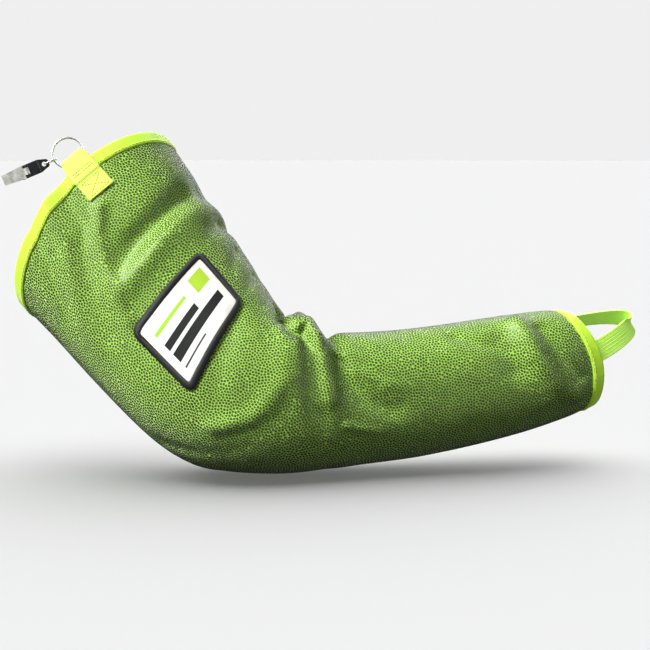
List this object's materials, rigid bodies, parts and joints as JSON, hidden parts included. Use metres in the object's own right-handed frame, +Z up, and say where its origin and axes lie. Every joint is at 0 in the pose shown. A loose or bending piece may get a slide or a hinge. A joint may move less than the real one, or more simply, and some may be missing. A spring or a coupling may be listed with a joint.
{
  "type": "cut resistant sleeve",
  "caption": "Cut resistant work sleeve in the form it has on a bent arm, with bound rims, label patch, thumb loop and a sprung clip on a ring and webbing tab",
  "frame": {"origin": "the middle of the sleeve at the elbow, where the arm that holds it bends", "axes": "+X from the arm opening towards the wrist opening, +Y away from the side with the label, +Z up as the sleeve is shown"},
  "size_m": [0.5297, 0.1815, 0.2786],
  "materials": {
    "cloth": "green mesh with dark raised dots",
    "tape": "bright yellow-green woven tape",
    "elastic": "bright green elastic",
    "webbing": "bright yellow webbing",
    "label": "off-white woven patch",
    "label_border": "black stitched edge",
    "steel": "bright nickel",
    "clip_metal": "satin",
    "clip_plastic": "black, slightly glossy"
  },
  "bodies": {
    "sleeve": {"sleeve_body": "cloth", "arm_binding": "tape", "wrist_binding": "tape", "thumb_loop": "elastic", "label_field": "label", "label_border": "label_border", "clip_tab": "webbing", "split_ring": "steel", "clip_link": "steel", "clip_base": "clip_plastic", "clip_lower_jaw": "clip_metal", "clip_pin": "clip_metal"},
    "clip_jaw": {"clip_upper_jaw": "clip_metal", "clip_lever_pad": "clip_plastic"}
  },
  "joints": [
    {"name": "clip_hinge", "type": "hinge", "parent": "sleeve", "child": "clip_jaw", "pos_m": [-0.18372, 0.00587, 0.18598], "axis": [-0.3843, 0, 0.9232], "range_deg": [0, 15], "stiffness_Nm_per_rad": 0.05, "springref_deg": -11.46}
  ]
}
